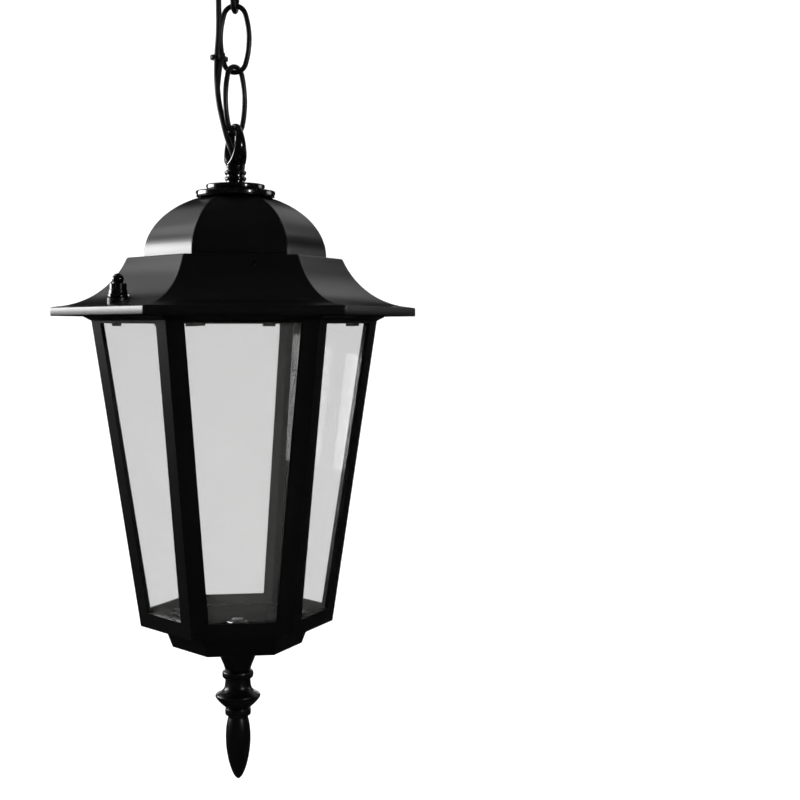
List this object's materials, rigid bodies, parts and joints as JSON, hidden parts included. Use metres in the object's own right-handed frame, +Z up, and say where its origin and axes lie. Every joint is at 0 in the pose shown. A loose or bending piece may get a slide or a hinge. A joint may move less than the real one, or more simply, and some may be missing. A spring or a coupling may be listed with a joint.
{
  "type": "hanging lantern",
  "caption": "Tapered hexagonal glass lantern with a domed roof and turned finial, hung on a chain with a flat cable from a round ceiling canopy.",
  "frame": {"origin": "middle of the ceiling plane, between the two slots of the ceiling bracket", "axes": "+Z up out of the ceiling, +X along the canopy's two studs and through two corners of the lantern, everything hangs towards -Z"},
  "size_m": [0.212, 0.1836, 0.9306],
  "materials": {
    "black_enamel": "gloss",
    "black_gloss": "high gloss",
    "black_chain": "satin",
    "zinc_steel": "satin",
    "black_cable": "satin",
    "clear_glass": "polished",
    "white_porcelain": "glazed",
    "brass": "satin"
  },
  "bodies": {
    "ceiling_canopy": {"ceiling_bracket": "zinc_steel", "canopy_studs": "zinc_steel", "canopy": "black_enamel", "canopy_cap_nuts": "black_gloss", "canopy_loop": "black_gloss", "canopy_loop_washer": "zinc_steel", "canopy_loop_locknut": "zinc_steel", "terminal_block": "white_porcelain", "terminal_screws": "brass", "cable_clamp": "white_porcelain", "clamp_screws": "zinc_steel", "lamp_cable": "black_cable"},
    "link_1": {"chain_link_1": "black_chain"},
    "link_2": {"chain_link_2": "black_chain"},
    "link_3": {"chain_link_3": "black_chain"},
    "link_4": {"chain_link_4": "black_chain"},
    "link_5": {"chain_link_5": "black_chain"},
    "link_6": {"chain_link_6": "black_chain"},
    "link_7": {"chain_link_7": "black_chain"},
    "link_8": {"chain_link_8": "black_chain"},
    "link_9": {"chain_link_9": "black_chain"},
    "link_10": {"chain_link_10": "black_chain"},
    "link_11": {"chain_link_11": "black_chain"},
    "link_12": {"chain_link_12": "black_chain"},
    "link_13": {"chain_link_13": "black_chain", "cable_tie": "black_cable"},
    "link_14": {"chain_link_14": "black_chain"},
    "lantern": {"lantern_loop": "black_gloss", "upper_cap_disc": "black_gloss", "lower_cap_disc": "black_gloss", "roof": "black_enamel", "roof_washer": "zinc_steel", "roof_locknut": "zinc_steel", "lampholder_cap": "black_enamel", "lampholder_body": "white_porcelain", "lampholder_shell": "brass", "lampholder_contact": "brass"},
    "cage": {"cage_frame": "black_enamel", "cage_studs": "zinc_steel", "pane_clips": "black_chain", "clip_screws": "zinc_steel", "glass_pane_1": "clear_glass", "glass_pane_2": "clear_glass", "glass_pane_3": "clear_glass", "glass_pane_4": "clear_glass", "glass_pane_5": "clear_glass", "glass_pane_6": "clear_glass", "base_pan": "black_enamel", "pan_screws": "zinc_steel", "finial": "black_enamel", "finial_rod": "zinc_steel", "finial_washer": "zinc_steel", "finial_nut": "zinc_steel"},
    "nut_left": {"roof_cap_nut_left": "black_gloss"},
    "nut_right": {"roof_cap_nut_right": "black_gloss"}
  },
  "joints": [
    {"name": "link_1_swing", "type": "hinge", "parent": "ceiling_canopy", "child": "link_1", "pos_m": [0, 0, -0.0645], "axis": [0, 1, 0], "range_deg": [-10, 10], "deforming": ["lamp_cable", "cable_tie"]},
    {"name": "link_2_swing", "type": "hinge", "parent": "link_1", "child": "link_2", "pos_m": [0, 0, -0.09925], "axis": [1, 0, 0], "range_deg": [-10, 10], "deforming": ["lamp_cable", "cable_tie"]},
    {"name": "link_3_swing", "type": "hinge", "parent": "link_2", "child": "link_3", "pos_m": [0, 0, -0.1341], "axis": [0, 1, 0], "range_deg": [-10, 10], "deforming": ["lamp_cable", "cable_tie"]},
    {"name": "link_4_swing", "type": "hinge", "parent": "link_3", "child": "link_4", "pos_m": [0, 0, -0.16895], "axis": [1, 0, 0], "range_deg": [-10, 10], "deforming": ["lamp_cable", "cable_tie"]},
    {"name": "link_5_swing", "type": "hinge", "parent": "link_4", "child": "link_5", "pos_m": [0, 0, -0.2038], "axis": [0, 1, 0], "range_deg": [-10, 10], "deforming": ["lamp_cable", "cable_tie"]},
    {"name": "link_6_swing", "type": "hinge", "parent": "link_5", "child": "link_6", "pos_m": [0, 0, -0.23865], "axis": [1, 0, 0], "range_deg": [-10, 10], "deforming": ["lamp_cable", "cable_tie"]},
    {"name": "link_7_swing", "type": "hinge", "parent": "link_6", "child": "link_7", "pos_m": [0, 0, -0.2735], "axis": [0, 1, 0], "range_deg": [-10, 10], "deforming": ["lamp_cable", "cable_tie"]},
    {"name": "link_8_swing", "type": "hinge", "parent": "link_7", "child": "link_8", "pos_m": [0, 0, -0.30835], "axis": [0.9976, 0.0698, 0], "range_deg": [-10, 10], "deforming": ["lamp_cable", "cable_tie"]},
    {"name": "link_9_swing", "type": "hinge", "parent": "link_8", "child": "link_9", "pos_m": [0, 0, -0.3432], "axis": [0.0698, 0.9976, 0], "range_deg": [-10, 10], "deforming": ["lamp_cable", "cable_tie"]},
    {"name": "link_10_swing", "type": "hinge", "parent": "link_9", "child": "link_10", "pos_m": [0, 0, -0.37805], "axis": [0.9986, -0.0523, 0], "range_deg": [-10, 10], "deforming": ["lamp_cable", "cable_tie"]},
    {"name": "link_11_swing", "type": "hinge", "parent": "link_10", "child": "link_11", "pos_m": [0, 0, -0.4129], "axis": [0.0349, 0.9994, 0], "range_deg": [-10, 10], "deforming": ["lamp_cable", "cable_tie"]},
    {"name": "link_12_swing", "type": "hinge", "parent": "link_11", "child": "link_12", "pos_m": [0, 0, -0.44775], "axis": [0.9994, 0.0349, 0], "range_deg": [-10, 10], "deforming": ["lamp_cable", "cable_tie"]},
    {"name": "link_13_swing", "type": "hinge", "parent": "link_12", "child": "link_13", "pos_m": [0, 0, -0.4826], "axis": [0.225, 0.9744, 0], "range_deg": [-10, 10], "deforming": ["lamp_cable", "cable_tie"]},
    {"name": "link_14_swing", "type": "hinge", "parent": "link_13", "child": "link_14", "pos_m": [0, 0, -0.51745], "axis": [0.9659, -0.2588, 0], "range_deg": [-10, 10], "deforming": ["lamp_cable", "cable_tie"]},
    {"name": "lantern_swing", "type": "hinge", "parent": "link_14", "child": "lantern", "pos_m": [0, 0, -0.5523], "axis": [0.6947, 0.7193, 0], "range_deg": [-15, 15], "deforming": ["lamp_cable", "cable_tie"]},
    {"name": "cage_lower", "type": "slide", "parent": "lantern", "child": "cage", "axis": [0, 0, -1], "range_m": [0, 0.21]},
    {"name": "nut_left_turn", "type": "hinge", "parent": "lantern", "child": "nut_left", "pos_m": [-0.06668, -0.0385, -0.6487], "axis": [0, 0, 1], "continuous": true},
    {"name": "nut_right_turn", "type": "hinge", "parent": "lantern", "child": "nut_right", "pos_m": [0.06668, 0.0385, -0.6487], "axis": [0, 0, 1], "continuous": true}
  ]
}
